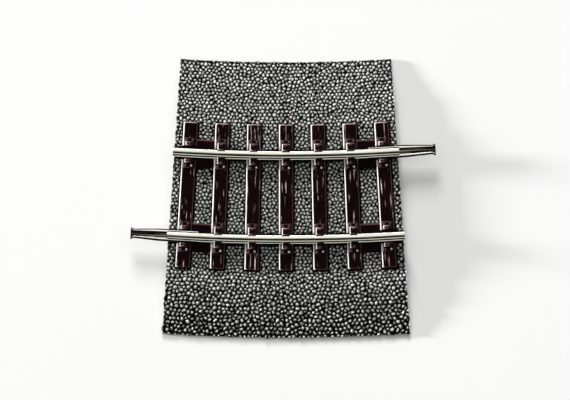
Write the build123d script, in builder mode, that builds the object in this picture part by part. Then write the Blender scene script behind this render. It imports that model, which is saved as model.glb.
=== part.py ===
from build123d import *

import math
import os

# A short curved section of 1:87 set track: a moulded ballast bed, a one-piece sleeper grid, two rails and a
# folded joiner on one end of each rail. Millimetres and degrees.
# Origin: underside of the bed, below the middle of the track. +X runs along the track, +Y points to the centre
# of the curve and +Z is up.

# Track
gauge = 16.5                # between the inner faces of the two rail heads
curve_radius = 358.0        # of the track's centreline
curve_angle = 7.5           # turned by one section
sleeper_count = 7

# Rail
rail_height = 2.1
head_width = 0.75
head_side = 0.4             # upright side of the head
head_taper = 0.18           # height of the slope from the head in to the web
head_corner = 0.12          # rounding of the running edges
web_thickness = 0.4
foot_width = 2.0
foot_edge = 0.3             # thickness of the foot at its edge
foot_root = 0.55            # thickness of the foot at the web
foot_lead = 0.2             # corner cut off each end of the foot, which leads it into a joiner

# Sleepers
sleeper_length = 29.9
sleeper_width = 2.9
sleeper_height = 1.8
sleeper_proud = 0.7         # top of a sleeper above the ballast
sleeper_bevel = 0.22
tie_width = 1.6             # strip that joins the sleepers under each rail
end_plate_width = 5.8       # the wider strip between the last two sleepers at each end

# Rail chairs
chair_thickness = 0.15
chair_margin = 0.33         # from the sleeper's side to the chair plate
chair_corner = 0.35
clip_margin = 0.3           # from the chair plate's side to the clip
clip_overlap = 0.3          # clip over the rail's foot
clip_reach = 1.2            # clip outside the rail's foot
clip_rise = 0.28            # top of the clip above the highest point of foot that it covers
clip_bevel = 0.1
clip_gap = 0.05
chair_reach = 0.9           # chair plate outside the clip
bolt_diameter = 0.5
bolt_height = 0.22
screw_diameter = 0.5
screw_height = 0.18
screw_inset = 0.5           # from the chair plate's side to the middle of a screw head

# Joiners
joiner_sheet = 0.2
joiner_length = 13.6
joiner_seat = 6.2           # length that holds its own rail
joiner_straight = 1.6       # full width past the rail's end
joiner_slot = 1.28          # opening between the lips at the rail
joiner_pinch = 0.32         # free half sprung in, each side
joiner_free_slot = 1.1      # opening between the lips near the free end
joiner_flare_length = 0.7
joiner_flare = 0.3          # mouth bent out, each side
joiner_bend = 0.1           # inside radius of the folds
grip_gap = 0.06             # between the joiner and the rail's foot
floor_gap = 0.06            # between the joiner and the strip below it
trough_gap = 0.15           # each side of the joiner, in the end sleepers

# Ballast bed
bed_width = 57.2
crown_width = 37.0
relief_depth = 0.5          # hollows in the underside
floor_wall = 0.8            # ballast left over a hollow, below the sleepers
edge_wall = 0.4             # ballast left over a hollow's height at the bed's side
relief_rim = 2.6
relief_rib = 1.5
relief_bays = 3             # hollows along the track
pocket_gap = 0.05           # around the sleepers and strips

# Main stones of the ballast
stone_pitch = 2.7
stone_width = 2.2
stone_sides = 6
stone_slope = 35            # of a stone's sides, from upright
stone_height = 0.4          # above the bed between the stones
stone_root = 0.1            # below the bed between the stones
stone_turn = 25             # from one stone to the next
stone_margin = 1.5          # least distance from the middle of a stone to the edge of the bed

# Heights
bed_floor = relief_depth + floor_wall
bed_edge = relief_depth + edge_wall
sleeper_top = bed_floor + sleeper_height
bed_crown = sleeper_top - sleeper_proud
rail_seat = sleeper_top + chair_thickness
joiner_underside = rail_seat - grip_gap - joiner_sheet
trough_floor = joiner_underside - floor_gap

# Widths
foot_half = foot_width / 2
foot_slope = (foot_root - foot_edge) / (foot_half - web_thickness / 2)
chair_width = sleeper_width - 2 * chair_margin
clip_width = chair_width - 2 * clip_margin
clip_inner = foot_half - clip_overlap
clip_outer = foot_half + clip_reach
chair_half = clip_outer + chair_reach
joiner_half = foot_half + grip_gap
trough_half = joiner_half + joiner_sheet + trough_gap
clip_top = foot_edge + clip_overlap * foot_slope + clip_gap + clip_rise

# Arc
half_angle = curve_angle / 2
pitch_angle = curve_angle / sleeper_count
sleeper_span = curve_angle - pitch_angle
rail_offset = gauge / 2 + head_width / 2
outer_radius = curve_radius + rail_offset
inner_radius = curve_radius - rail_offset
rail_radii = (outer_radius, inner_radius)
curve_axis = Axis((0, curve_radius, 0), (0, 0, 1))

# Bed and its rows of stones
bed_half = bed_width / 2
crown_half = crown_width / 2
shoulder_lean = math.atan((bed_crown - bed_edge) / (bed_half - crown_half))
shoulder_turn = curve_angle - 2 * math.degrees(stone_margin / curve_radius)
shoulder_stones = int(math.radians(shoulder_turn) * curve_radius / stone_pitch)


def arc_point(radius, angle, height=0.0):
    """A point on an arc about the curve's centre; the angle is 0 at the middle and grows to the right."""
    turn = math.radians(angle)
    return Vector(radius * math.sin(turn), curve_radius - radius * math.cos(turn), height)


def cross_plane(radius, angle, height=0.0):
    """Plane square to the track: local x points to the curve's centre, local y up and local z to the right."""
    turn = math.radians(angle)
    return Plane(
        origin=arc_point(radius, angle, height),
        x_dir=(-math.sin(turn), math.cos(turn), 0),
        z_dir=(math.cos(turn), math.sin(turn), 0),
    )


def level_plane(height):
    """Level plane at a height, with its origin at the curve's centre."""
    return Plane(origin=(0, curve_radius, height))


def sleeper_places(radius):
    """One place for each sleeper on an arc: local x points away from the curve's centre, local y right."""
    first_angle = -90 - sleeper_span / 2
    return PolarLocations(radius, sleeper_count, first_angle, sleeper_span, endpoint=True)


def strip(radius, width, low, high, start_angle, arc, mode=Mode.ADD):
    """A strip that follows the curve, between two heights."""
    with BuildSketch(cross_plane(radius, start_angle)) as section:
        with Locations((0, low)):
            Rectangle(width, high - low, align=(Align.CENTER, Align.MIN))
    revolve(section.sketch, axis=curve_axis, revolution_arc=arc, mode=mode)


def grid_strips(clearance, mode):
    """The strips under both rails, narrow along the whole grid and wide in the two end bays."""
    top = trough_floor + clearance
    for radius in rail_radii:
        tie = tie_width + 2 * clearance
        end_plate = end_plate_width + 2 * clearance
        strip(radius, tie, bed_floor, top, -sleeper_span / 2, sleeper_span, mode)
        for first_angle in (-sleeper_span / 2, sleeper_span / 2 - pitch_angle):
            strip(radius, end_plate, bed_floor, top, first_angle, pitch_angle, mode)


def bed_height(across):
    """Height of the bed between its stones, at a distance from the track's centreline."""
    slope = max(0, abs(across) - crown_half) / (bed_half - crown_half)
    return bed_crown - stone_height - slope * (bed_crown - bed_edge)


def stone_angles(across, row):
    """Where the stones of a row are: one in each bay between two sleepers, or spread along a shoulder."""
    if abs(across) > sleeper_length / 2:
        step = shoulder_turn / shoulder_stones
        first_angle = -shoulder_turn / 2 + step / 2 * (row % 2)
        return [first_angle + step * stone for stone in range(shoulder_stones + 1 - row % 2)]
    angles = []
    for bay in range(1, sleeper_count):
        strip_width = end_plate_width if bay in (1, sleeper_count - 1) else tie_width
        if abs(abs(across) - rail_offset) > (strip_width + stone_width) / 2:
            angles.append(-half_angle + bay * pitch_angle)
    return angles


def stone_planes():
    """A plane on the bed's surface at the middle of each main stone, each turned a little further."""
    planes = []
    rows = int((bed_half - stone_margin) / stone_pitch + 0.5)
    for row in range(rows):
        for side in (-1, 1):
            across = side * (row + 0.5) * stone_pitch
            lean = side * shoulder_lean if abs(across) > crown_half else 0
            for angle in stone_angles(across, row):
                section = cross_plane(curve_radius + across, angle, bed_height(across))
                upright = section.y_dir * math.cos(lean) - section.x_dir * math.sin(lean)
                surface = Plane(section.origin, x_dir=section.z_dir, z_dir=upright)
                planes.append(surface.rotated((0, 0, stone_turn * len(planes))))
    return planes


def foot_outline(gap):
    """Half the outline of a rail's foot up to its web, grown by a gap on its sides and top."""
    edge = foot_half + gap
    web = web_thickness / 2 + gap
    return [(0, 0), (edge, 0), (edge, foot_edge + gap), (web, foot_root + gap)]


# ---- Ballast bed: sloped shoulders with stones, pockets for the sleeper grid, hollows underneath ----
with BuildPart() as stone:
    with BuildSketch(Plane.XY.offset(-stone_root)):
        RegularPolygon(stone_width / 2, stone_sides)
    extrude(amount=stone_height + stone_root, taper=stone_slope)

with BuildPart() as ballast_bed:
    with BuildSketch(cross_plane(curve_radius, -half_angle)):
        with BuildLine():
            side_top = bed_height(bed_half)
            crown_top = bed_height(0)
            Polyline((0, 0), (bed_half, 0), (bed_half, side_top), (crown_half, crown_top), (0, crown_top))
            mirror(about=Plane.YZ)
        make_face()
    revolve(axis=curve_axis, revolution_arc=curve_angle)
    with Locations(*stone_planes()):
        add(stone.part)

    with BuildSketch(level_plane(bed_floor)):
        with sleeper_places(curve_radius):
            Rectangle(sleeper_length + 2 * pocket_gap, sleeper_width + 2 * pocket_gap)
    extrude(amount=sleeper_height, mode=Mode.SUBTRACT)
    grid_strips(pocket_gap, Mode.SUBTRACT)

    # Hollows between ribs that run under the track's centre, under both rails and across
    relief_columns = [
        (relief_rib / 2, rail_offset - relief_rib / 2),
        (rail_offset + relief_rib / 2, bed_half - relief_rim),
    ]
    rim_angle = math.degrees(relief_rim / curve_radius)
    rib_angle = math.degrees(relief_rib / curve_radius)
    relief_angle = (curve_angle - 2 * rim_angle - (relief_bays - 1) * rib_angle) / relief_bays
    for bay in range(relief_bays):
        bay_start = -half_angle + rim_angle + bay * (relief_angle + rib_angle)
        for near, far in relief_columns:
            for side in (-1, 1):
                middle_radius = curve_radius + side * (near + far) / 2
                strip(middle_radius, far - near, 0, relief_depth, bay_start, relief_angle, Mode.SUBTRACT)

ballast_bed.part.label = "ballast_bed"

# ---- Sleeper grid: sleepers, strips under the rails, and a moulded chair for each rail on each sleeper ----
with BuildPart() as sleeper_grid:
    with BuildSketch(level_plane(bed_floor)):
        with sleeper_places(curve_radius):
            Rectangle(sleeper_length, sleeper_width)
    extrude(amount=sleeper_height)
    chamfer(sleeper_grid.faces().group_by(Axis.Z)[-1].edges(), sleeper_bevel)
    grid_strips(0, Mode.ADD)

    for radius in rail_radii:
        with BuildSketch(level_plane(sleeper_top)):
            with sleeper_places(radius):
                RectangleRounded(2 * chair_half, chair_width, chair_corner)
        extrude(amount=chair_thickness)

    for radius in rail_radii:
        with BuildSketch(level_plane(rail_seat)):
            with sleeper_places(radius):
                with Locations(((clip_inner + clip_outer) / 2, 0), (-(clip_inner + clip_outer) / 2, 0)):
                    Rectangle(clip_outer - clip_inner, clip_width)
        extrude(amount=clip_top)
    chamfer(sleeper_grid.faces().group_by(Axis.Z)[-1].edges(), clip_bevel)

    # Room for the rail's foot under the clips
    for radius in rail_radii:
        with BuildSketch(cross_plane(radius, -half_angle, rail_seat)):
            with BuildLine():
                Polyline(*foot_outline(clip_gap), (0, foot_root + clip_gap))
                mirror(about=Plane.YZ)
            make_face()
        revolve(axis=curve_axis, revolution_arc=curve_angle, mode=Mode.SUBTRACT)

    # Troughs in the end sleepers, where a joiner passes under the rail
    for radius in rail_radii:
        for first_angle in (-half_angle, half_angle - pitch_angle):
            clip_height = rail_seat + clip_top
            strip(radius, 2 * trough_half, trough_floor, clip_height, first_angle, pitch_angle, Mode.SUBTRACT)

    bolt_offset = (trough_half + clip_outer) / 2
    screw_offset = (clip_outer + chair_half) / 2
    screw_row = chair_width - 2 * screw_inset
    for radius in rail_radii:
        with BuildSketch(level_plane(rail_seat + clip_top)):
            with sleeper_places(radius):
                with Locations((bolt_offset, 0), (-bolt_offset, 0)):
                    Circle(bolt_diameter / 2)
        extrude(amount=bolt_height)
        with BuildSketch(level_plane(rail_seat)):
            with sleeper_places(radius):
                with GridLocations(2 * screw_offset, screw_row, 2, 2):
                    Circle(screw_diameter / 2)
        extrude(amount=screw_height)

sleeper_grid.part.label = "sleeper_grid"


# ---- Rails ----
def make_rail(radius, label):
    """One rail, curved on its own radius, with its foot's corners cut back at both ends."""
    head_half = head_width / 2
    web_half = web_thickness / 2
    head_base = rail_height - head_side
    with BuildPart() as rail:
        with BuildSketch(cross_plane(radius, -half_angle, rail_seat)):
            with BuildLine():
                FilletPolyline(
                    *foot_outline(0),
                    (web_half, head_base - head_taper),
                    (head_half, head_base),
                    (head_half, rail_height),
                    (0, rail_height),
                    radius=[0, 0, 0, 0, 0, head_corner],
                )
                mirror(about=Plane.YZ)
            make_face()
        revolve(axis=curve_axis, revolution_arc=curve_angle)
        foot_corners = rail.edges().filter_by(Axis.Z).group_by(Axis.Z)[0]
        chamfer(foot_corners, foot_lead)
    rail.part.label = label
    return rail.part


outer_rail = make_rail(outer_radius, "outer_rail")
inner_rail = make_rail(inner_radius, "inner_rail")


# ---- Joiners: folded sheet around the rail's foot, half on its own rail and half free for the next ----
def joiner_plane(radius, end):
    """Plane square to a rail at the middle of the joiner's seat, facing out of end -1 (left) or 1 (right)."""
    angle = half_angle - math.degrees(joiner_seat / 2 / radius)
    turn = math.radians(end * angle)
    outward = Vector(end * math.cos(turn), end * math.sin(turn), 0)
    return Plane(
        origin=arc_point(radius, end * angle, rail_seat),
        x_dir=(-outward.Y, outward.X, 0),
        z_dir=outward,
    )


def channel_section(plane, inner_half, slot_half):
    """The folded sheet cut across: a floor under the foot, a wall on each side and a lip over each edge."""
    lip_low = foot_edge + max(0, foot_half - inner_half) * foot_slope + grip_gap
    lip_high = foot_edge + max(0, foot_half - slot_half) * foot_slope + grip_gap
    outer_bend = joiner_bend + joiner_sheet
    lip_round = joiner_sheet / 4
    with BuildSketch(plane) as section:
        with BuildLine():
            FilletPolyline(
                (0, -grip_gap - joiner_sheet),
                (inner_half + joiner_sheet, -grip_gap - joiner_sheet),
                (inner_half + joiner_sheet, lip_low + joiner_sheet),
                (slot_half, lip_high + joiner_sheet),
                (slot_half, lip_high),
                (inner_half, lip_low),
                (inner_half, -grip_gap),
                (0, -grip_gap),
                radius=[outer_bend, outer_bend, lip_round, lip_round, joiner_bend, joiner_bend],
            )
            mirror(about=Plane.YZ)
        make_face()
    return section.sketch


def make_joiner(radius, end, label):
    """One joiner: straight where it holds its rail, sprung in towards its free end, with a flared mouth."""
    seat_plane = joiner_plane(radius, end)
    seat_end = joiner_seat / 2
    straight_end = seat_end + joiner_straight
    mouth = seat_end + joiner_length - joiner_seat
    flare_start = mouth - joiner_flare_length
    slot_half = joiner_slot / 2
    free_half = joiner_half - joiner_pinch
    free_slot_half = joiner_free_slot / 2
    inner_end = channel_section(seat_plane.offset(-seat_end), joiner_half, slot_half)
    pinch_start = channel_section(seat_plane.offset(straight_end), joiner_half, slot_half)
    pinch_end = channel_section(seat_plane.offset(flare_start), free_half, free_slot_half)
    mouth_end = channel_section(seat_plane.offset(mouth), free_half + joiner_flare, free_slot_half + joiner_flare)
    with BuildPart() as joiner:
        loft([inner_end, pinch_start], ruled=True)
        loft([pinch_start, pinch_end], ruled=True)
        loft([pinch_end, mouth_end], ruled=True)
    joiner.part.label = label
    return joiner.part


outer_joiner = make_joiner(outer_radius, -1, "outer_joiner")
inner_joiner = make_joiner(inner_radius, 1, "inner_joiner")

# ---- Write each piece ----
os.makedirs("parts", exist_ok=True)
export_step(ballast_bed.part, "parts/ballast_bed.step")
export_step(sleeper_grid.part, "parts/sleeper_grid.step")
export_step(outer_rail, "parts/outer_rail.step")
export_step(inner_rail, "parts/inner_rail.step")
export_step(outer_joiner, "parts/outer_joiner.step")
export_step(inner_joiner, "parts/inner_joiner.step")
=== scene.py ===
import math
import random

import bmesh
import bpy
import numpy as np
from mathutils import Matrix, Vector, kdtree, noise


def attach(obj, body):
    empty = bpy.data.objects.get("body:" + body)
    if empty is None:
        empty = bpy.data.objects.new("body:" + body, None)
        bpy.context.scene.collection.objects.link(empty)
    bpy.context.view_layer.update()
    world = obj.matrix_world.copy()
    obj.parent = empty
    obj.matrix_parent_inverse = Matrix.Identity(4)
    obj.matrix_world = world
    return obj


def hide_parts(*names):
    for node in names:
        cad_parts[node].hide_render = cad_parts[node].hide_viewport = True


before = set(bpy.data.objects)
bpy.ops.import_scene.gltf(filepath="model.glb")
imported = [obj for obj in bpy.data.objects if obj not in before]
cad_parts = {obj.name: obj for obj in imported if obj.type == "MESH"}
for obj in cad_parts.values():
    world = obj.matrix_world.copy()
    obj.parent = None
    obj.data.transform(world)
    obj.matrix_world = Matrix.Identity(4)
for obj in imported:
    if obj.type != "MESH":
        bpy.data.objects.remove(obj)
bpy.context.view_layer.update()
scene = bpy.context.scene
mm = 0.001  # meshes are worked out in millimetres and written in metres

track = {
    "radius": 358.0,
    "turn": math.radians(7.5),
    "sleepers": 7,
    "halfSleeper": (14.95, 1.45),  # half the length and half the width
    "sleeperTop": 3.1,
    "gridBottom": 1.3,
    "halfTie": 0.8,  # strips that join the sleepers below the rails
    "halfEndPlate": 2.9,  # the wider strips in both end bays
    "stripTop": 2.93,
    "railOffset": 8.625,  # from the centreline to the middle of a rail
    "footHalf": 1.0,  # half the width of a rail's foot
    "seat": 3.25,  # underside of the rails
}
halfTurn = track["turn"] / 2
pitchTurn = track["turn"] / track["sleepers"]
sleeperTurns = [(k - (track["sleepers"] - 1) / 2) * pitchTurn for k in range(track["sleepers"])]
railRadii = {
    "outer": track["radius"] + track["railOffset"],
    "inner": track["radius"] - track["railOffset"],
}
tiny = 1e-6


def arcPoint(radius, angle, height=0.0):
    return Vector((radius * math.sin(angle), track["radius"] - radius * math.cos(angle), height))


def smooth(value):
    value = np.clip(value, 0.0, 1.0)
    return value * value * (3 - 2 * value)


def stepsBetween(breaks, step):
    # values from break to break, in nearly equal steps
    values = [breaks[0]]
    for low, high in zip(breaks, breaks[1:]):
        count = max(1, round((high - low) / step))
        values += [low + (high - low) * (n + 1) / count for n in range(count)]
    return values


def filletLoop(corners, radii, segments):
    # rounds the corners of an open or closed run of points; a radius of 0 keeps the corner
    points = []
    for n, (corner, radius) in enumerate(zip(corners, radii)):
        if radius <= 0:
            points.append(corner)
            continue
        here = Vector(corner)
        before = (Vector(corners[n - 1]) - here).normalized()
        after = (Vector(corners[(n + 1) % len(corners)]) - here).normalized()
        half = before.angle(after) / 2
        reach = radius / math.tan(half)
        middle = here + (before + after).normalized() * radius / math.sin(half)
        start = here + before * reach - middle
        end = here + after * reach - middle
        sweep = start.angle(end)
        for s in range(segments + 1):
            t = s / segments
            a = math.sin((1 - t) * sweep) / math.sin(sweep)
            b = math.sin(t * sweep) / math.sin(sweep)
            spot = middle + start * a + end * b
            points.append((spot.x, spot.y))
    return points


def filletTones(tones, radii, segments):
    # one tone for each point that filletLoop makes
    return [tone for tone, radius in zip(tones, radii) for n in range(segments + 1 if radius > 0 else 1)]


def mirrorLoop(half):
    # closes a half outline that starts and ends on the middle line
    return half + [(-x, z) for x, z in half[-2:0:-1]]


def mirrorTones(half):
    return half + half[-2:0:-1]


def mirroredSection(corners, segments):
    # whole outline from one half's corners, each with its x, z, rounding and shine, and its points' shine
    radii = [corner[2] for corner in corners]
    outline = filletLoop([corner[:2] for corner in corners], radii, segments)
    shines = filletTones([corner[3] for corner in corners], radii, segments)
    return mirrorLoop(outline), mirrorTones(shines)


def finishMesh(bm, name, sharpAngle):
    bmesh.ops.recalc_face_normals(bm, faces=bm.faces)
    bmesh.ops.scale(bm, vec=(mm, mm, mm), verts=bm.verts)
    mesh = bpy.data.meshes.new(name)
    bm.to_mesh(mesh)
    bm.free()
    mesh.shade_smooth()
    mesh.set_sharp_from_angle(angle=math.radians(sharpAngle))
    return mesh


def addPiece(name, mesh, node, body, material):
    mesh.materials.append(material)
    piece = bpy.data.objects.new(name, mesh)
    scene.collection.objects.link(piece)
    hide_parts(node)
    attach(piece, body)
    print(name, len(mesh.polygons), "faces")


# Node helpers
def feed(tree, socket, value):
    # joins a socket to another one, or sets its value; a colour is written with three numbers
    if isinstance(value, bpy.types.NodeSocket):
        tree.links.new(value, socket)
    else:
        socket.default_value = (*value, 1) if socket.type == "RGBA" else value


def addNode(tree, kind, values=None, **settings):
    node = tree.nodes.new(kind)
    for key, value in settings.items():
        setattr(node, key, value)
    for key, value in (values or {}).items():
        feed(tree, node.inputs[key], value)
    return node


def mathNode(tree, operation, first, second):
    return addNode(tree, "ShaderNodeMath", {0: first, 1: second}, operation=operation).outputs[0]


def rangeNode(tree, value, fromMin, fromMax, toMin=0.0, toMax=1.0):
    values = {"Value": value, "From Min": fromMin, "From Max": fromMax, "To Min": toMin, "To Max": toMax}
    return addNode(tree, "ShaderNodeMapRange", values, clamp=True).outputs[0]


def mixNode(tree, factor, first, second):
    # inputs 0, 6 and 7 of a colour mix are its factor and its two colours
    return addNode(tree, "ShaderNodeMix", {0: factor, 6: first, 7: second}, data_type="RGBA").outputs[2]


def attributeNode(tree, name):
    return addNode(tree, "ShaderNodeAttribute", attribute_name=name).outputs["Fac"]


def newGroup(name, inputs, outputs):
    group = bpy.data.node_groups.new(name, "ShaderNodeTree")
    for label, kind, value in inputs:
        socket = group.interface.new_socket(label, in_out="INPUT", socket_type=kind)
        if value is not None:
            socket.default_value = value
    for label, kind in outputs:
        group.interface.new_socket(label, in_out="OUTPUT", socket_type=kind)
    start = group.nodes.new("NodeGroupInput")
    end = group.nodes.new("NodeGroupOutput")
    return group, start.outputs, end.inputs


def placeGroup(tree, group, values):
    return addNode(tree, "ShaderNodeGroup", values, node_tree=group).outputs


def addBump(tree, shader, height, strength, distance):
    values = {"Height": height, "Strength": strength, "Distance": distance}
    feed(tree, shader["Normal"], addNode(tree, "ShaderNodeBump", values).outputs[0])


def seenRays(tree):
    # 1 where a camera, a shiny surface or clear material looks at a surface, 0 for the light that it gives
    path = addNode(tree, "ShaderNodeLightPath").outputs
    seen = mathNode(tree, "ADD", path["Is Camera Ray"], path["Is Glossy Ray"])
    return mathNode(tree, "ADD", seen, path["Is Transmission Ray"])


def newMaterial(name, roughness, metallic=0.0):
    material = bpy.data.materials.new(name)
    material.use_nodes = True
    shader = material.node_tree.nodes["Principled BSDF"].inputs
    shader["Roughness"].default_value = roughness
    shader["Metallic"].default_value = metallic
    return material, material.node_tree, shader


# Uneven patches at two sizes, for moulded surfaces
def makeMottle():
    tree, inputs, outputs = newGroup(
        "mottle",
        [("Vector", "NodeSocketVector", None), ("Scale", "NodeSocketFloat", 1000.0)],
        [("Fine", "NodeSocketFloat"), ("Broad", "NodeSocketFloat")],
    )
    broadScale = mathNode(tree, "MULTIPLY", inputs["Scale"], 0.12)
    layers = {"Fine": (inputs["Scale"], 3.0, 0.3, 0.7), "Broad": (broadScale, 4.0, 0.32, 0.68)}
    for name, (scale, detail, low, high) in layers.items():
        values = {"Vector": inputs["Vector"], "Scale": scale, "Detail": detail}
        patches = addNode(tree, "ShaderNodeTexNoise", values).outputs[0]
        feed(tree, outputs[name], rangeNode(tree, patches, low, high))
    return tree


# Lines drawn along a metal section, tarnish and scuffs; the UV map runs along it in millimetres
def makeDrawnLines():
    tree, inputs, outputs = newGroup(
        "drawnLines",
        [("Along", "NodeSocketFloat", 0.06), ("Across", "NodeSocketFloat", 9.0)],
        [("Lines", "NodeSocketFloat"), ("Tarnish", "NodeSocketFloat"), ("Scuffs", "NodeSocketFloat")],
    )
    uv = addNode(tree, "ShaderNodeUVMap").outputs[0]
    lineScale = addNode(tree, "ShaderNodeCombineXYZ", {0: inputs["Along"], 1: inputs["Across"]}).outputs[0]
    # scale, detail, and where in the noise the effect starts and is full
    layers = {
        "Lines": (lineScale, 4.0, 0.3, 0.7),
        "Tarnish": ((0.35, 1.1, 1.0), 5.0, 0.38, 0.66),
        "Scuffs": ((1.6, 5.0, 1.0), 6.0, 0.52, 0.72),
    }
    for name, (scale, detail, low, high) in layers.items():
        spot = addNode(tree, "ShaderNodeVectorMath", {0: uv, 1: scale}, operation="MULTIPLY").outputs[0]
        values = {"Vector": spot, "Scale": 1.0, "Detail": detail}
        patches = addNode(tree, "ShaderNodeTexNoise", values).outputs[0]
        feed(tree, outputs[name], rangeNode(tree, patches, low, high))
    return tree


mottle = makeMottle()
drawnLines = makeDrawnLines()


# Ballast: one moulded shell of small rounded stones
ballast = {
    "halfWidth": 28.6,
    "halfCrown": 18.5,
    "edgeHeight": 0.9,
    "height": 2.4,
    "pocketGap": 0.05,
    "step": 0.152,  # between the points of the mesh
    "seed": 11,
    # places across the bed, from the curve's outer side to its inner side, and the values that hold there
    "places": [-27.0, -19.0, -15.0, 15.0, 19.0],
    # narrow and tone hold painted shade on the near slope, which faces away from the light, and painted light
    # on the crown, which the rails shade
    "pitch": [0.93, 0.88, 0.81, 0.81, 0.805],  # distance between stones
    "narrow": [1.9, 1.45, 1.4, 1.4, 1.45],  # larger for smaller pale tops
    "tone": [-0.5, 0.0, 0.45, 0.45, 0.2],  # paler by so much
    # the stones
    "wander": 0.45,  # most that a stone lies off its place, as a share of the pitch
    "margin": 0.35,  # from the bed's sides to its first stones
    "upright": 0.1,  # share that height counts for, so that stones on the sides stand upright
    "neighbours": 6,
    "partRounds": 6,  # times that stones which lie too close part
    "partShare": 0.35,  # how far they do each time, as a share of the overlap
    "partRoom": 1.12,  # distance that they keep, as a share of their mean size
    "partFixed": 0.5,  # nearer to the outline than this share of its size, a stone stays where it is
    "stoneSize": 0.65,  # radius of a stone as a share of the pitch
    "stoneRise": 1.2,  # height of a stone as a share of its radius
    "sizeSpread": 0.16,
    "stretch": 1.16,  # length of a stone as a share of its mean width
    "lift": 0.025,  # how far some stones stand above the others
    "lean": 0.12,  # usual slope of a stone's top
    "deepest": 0.5,  # hollow between stones
    "warp": 0.08,  # makes the stones' outlines less round
    "warpScale": 1.5,
    # their pale tops, which are painted highlights, and the painted shade in the seams between stones
    "plainTone": 0.5,
    "toneSpread": 0.15,
    "plainSize": 0.57,  # radius of a stone that the next three fit; on others they grow or shrink with it
    "topStart": 0.34,  # height at which the pale top starts
    "topBlend": 0.38,
    "seamBlend": 0.4,  # how much higher than the next stone a spot is where the seam between them ends
    "seamOpenness": 0.1,
    "topNoise": 0.16,  # makes the tops less round
    "topNoiseScale": 4.0,
    # painted shade beside the sleepers and the rails' feet, where the surface also sinks into a groove
    "grooveShade": {"left": 0.22, "right": 0.42, "end": 0.3, "rail": 0.55},
    "grooveFloor": 0.25,
    "grooveDepth": 0.6,
    # edges and walls
    "wallRings": 6,  # of points, below the bed's edges
    "roundOver": 0.35,  # width of the rounding at the bed's edges
    "wallFade": 0.7,  # height over which the stones on the walls fade into a plain moulded face
    "wallDrop": 0.3,
    "wallOpenness": 0.42,
    "footFade": 0.35,  # height over which the foot of a wall runs in
    "footInset": 0.5,
    # underside
    "hollowHeight": 0.5,
    "hollowColumns": [(0.75, 7.875), (9.375, 26.0)],
    "hollowRim": 2.6,
    "hollowRib": 1.5,
    "hollowBays": 3,
    "hollowSteps": 8,
    # colours: near-black painted shade in the seams, flanks by each stone's tone (which also holds painted
    # shade by slope), pale painted highlights on the tops, and dust
    "seamShadeColour": (0.003, 0.003, 0.003),
    "flankColours": ((0.04, 0.04, 0.036), (0.26, 0.26, 0.24)),
    "topHighlightColour": (0.96, 0.96, 0.92),
    "dustColour": (0.12, 0.12, 0.105),
}


def bedHeight(across):
    b = ballast
    slope = (np.abs(across) - b["halfCrown"]) / (b["halfWidth"] - b["halfCrown"])
    return b["height"] - (b["height"] - b["edgeHeight"]) * np.clip(slope, 0, 1)


def valueAcross(across, name):
    return np.interp(across, ballast["places"], ballast[name])


def acrossOf(places):
    return track["radius"] - np.hypot(places[:, 0], track["radius"] - places[:, 1])


def placeStones():
    # rows along the curve, every other one moved by half a pitch, and each stone a little off its place
    b = ballast
    rng = random.Random(b["seed"])
    halfWidth = b["halfWidth"] - b["margin"]
    rows = [-halfWidth]
    while rows[-1] < halfWidth:
        rows.append(rows[-1] + math.sqrt(0.75) * float(valueAcross(rows[-1], "pitch")))
    squeeze = 2 * halfWidth / (rows[-1] - rows[0])
    spots = []
    for row, place in enumerate(rows):
        across = (place + halfWidth) * squeeze - halfWidth
        pitch = float(valueAcross(across, "pitch"))
        radius = track["radius"] - across
        height = b["upright"] * float(bedHeight(across))
        count = round(track["turn"] * radius / pitch)
        for n in range(count):
            step = n + (0.25 if row % 2 else 0.75) + rng.uniform(-b["wander"], b["wander"])
            away = 0.0 if row in (0, len(rows) - 1) else pitch * rng.uniform(-b["wander"], b["wander"])
            spots.append(arcPoint(radius + away, track["turn"] * step / count - halfTurn, height))
    sizes = [1 + b["sizeSpread"] * rng.uniform(-1, 1) for spot in spots]
    return spreadStones(np.array([tuple(spot) for spot in spots]), np.array(sizes))


def stoneTree(places):
    tree = kdtree.KDTree(len(places))
    for n, place in enumerate(places):
        tree.insert(place, n)
    tree.balance()
    return tree


def spreadStones(places, sizes):
    # parts the stones that lie closer together than their sizes allow
    b = ballast
    across = acrossOf(places)
    sizes = sizes * valueAcross(across, "pitch")
    turns = np.arctan2(places[:, 0], track["radius"] - places[:, 1])
    edge = np.minimum(b["halfWidth"] - np.abs(across), (halfTurn - np.abs(turns)) * track["radius"])
    free = (edge > b["partFixed"] * sizes)[:, None]
    count = b["neighbours"] + 1  # each stone finds itself first
    for n in range(b["partRounds"]):
        tree = stoneTree(places)
        near = np.array([[hit[1] for hit in tree.find_n(place, count)[1:]] for place in places])
        apart = places[:, None, :] - places[near]
        gaps = np.linalg.norm(apart, axis=2)[:, :, None] + tiny
        room = b["partRoom"] * (sizes[:, None] + sizes[near])[:, :, None] / 2
        push = np.clip(room - gaps, 0, None) * apart / gaps
        places = places + np.where(free, b["partShare"] * push.sum(axis=1) * (1, 1, 0), 0)
    return places, sizes


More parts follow.
